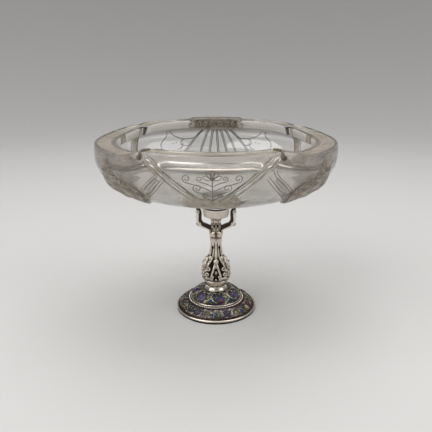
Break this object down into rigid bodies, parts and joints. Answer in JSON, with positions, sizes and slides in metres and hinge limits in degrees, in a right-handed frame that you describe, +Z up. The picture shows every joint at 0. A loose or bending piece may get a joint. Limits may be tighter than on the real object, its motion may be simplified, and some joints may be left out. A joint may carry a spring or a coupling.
{
  "type": "tazza",
  "caption": "Footed tazza: a wide lobed crystal bowl with an inturned flat rim, in a silver collar with scroll brackets, on a cast baluster stem and a domed enamelled foot.",
  "frame": {"origin": "centre of the foot's underside, on the table", "axes": "+Z up along the stem; -Y to the front, with the narrow front lobe of the bowl; +X to the right, over a side lobe"},
  "size_m": [0.2383, 0.2383, 0.1902],
  "materials": {
    "silver": "cast and turned silver, darkened in its hollows and worn bright on its high places",
    "enamel": "fired vitreous enamel, painted with small flowers and leaves, glossy",
    "crystal": "clear polished rock crystal with matt wheel engraving",
    "cement": "matt setting cement",
    "brass": "plain turned brass, dull"
  },
  "bodies": {
    "root": {"base_ring": "silver", "foot_step": "silver", "lower_enamel_band": "enamel", "bead_ring": "silver", "wire_ring": "silver", "foot_dome": "silver", "upper_enamel_dome": "enamel", "foot_neck": "silver", "neck_ring": "silver", "baluster_core": "silver", "scroll_leaf_1": "silver", "scroll_leaf_2": "silver", "scroll_leaf_3": "silver", "scroll_leaf_4": "silver", "berry_drop_1": "silver", "berry_drop_2": "silver", "berry_drop_3": "silver", "berry_drop_4": "silver", "stem_neck": "silver", "stem_ring": "silver", "knop": "silver", "bracket_hub": "silver", "collar_cup": "silver", "seat_pad": "cement", "bracket_right": "silver", "bracket_left": "silver", "washer": "brass", "nut": "brass", "tie_rod": "brass", "crystal_bowl": "crystal"}
  },
  "joints": []
}
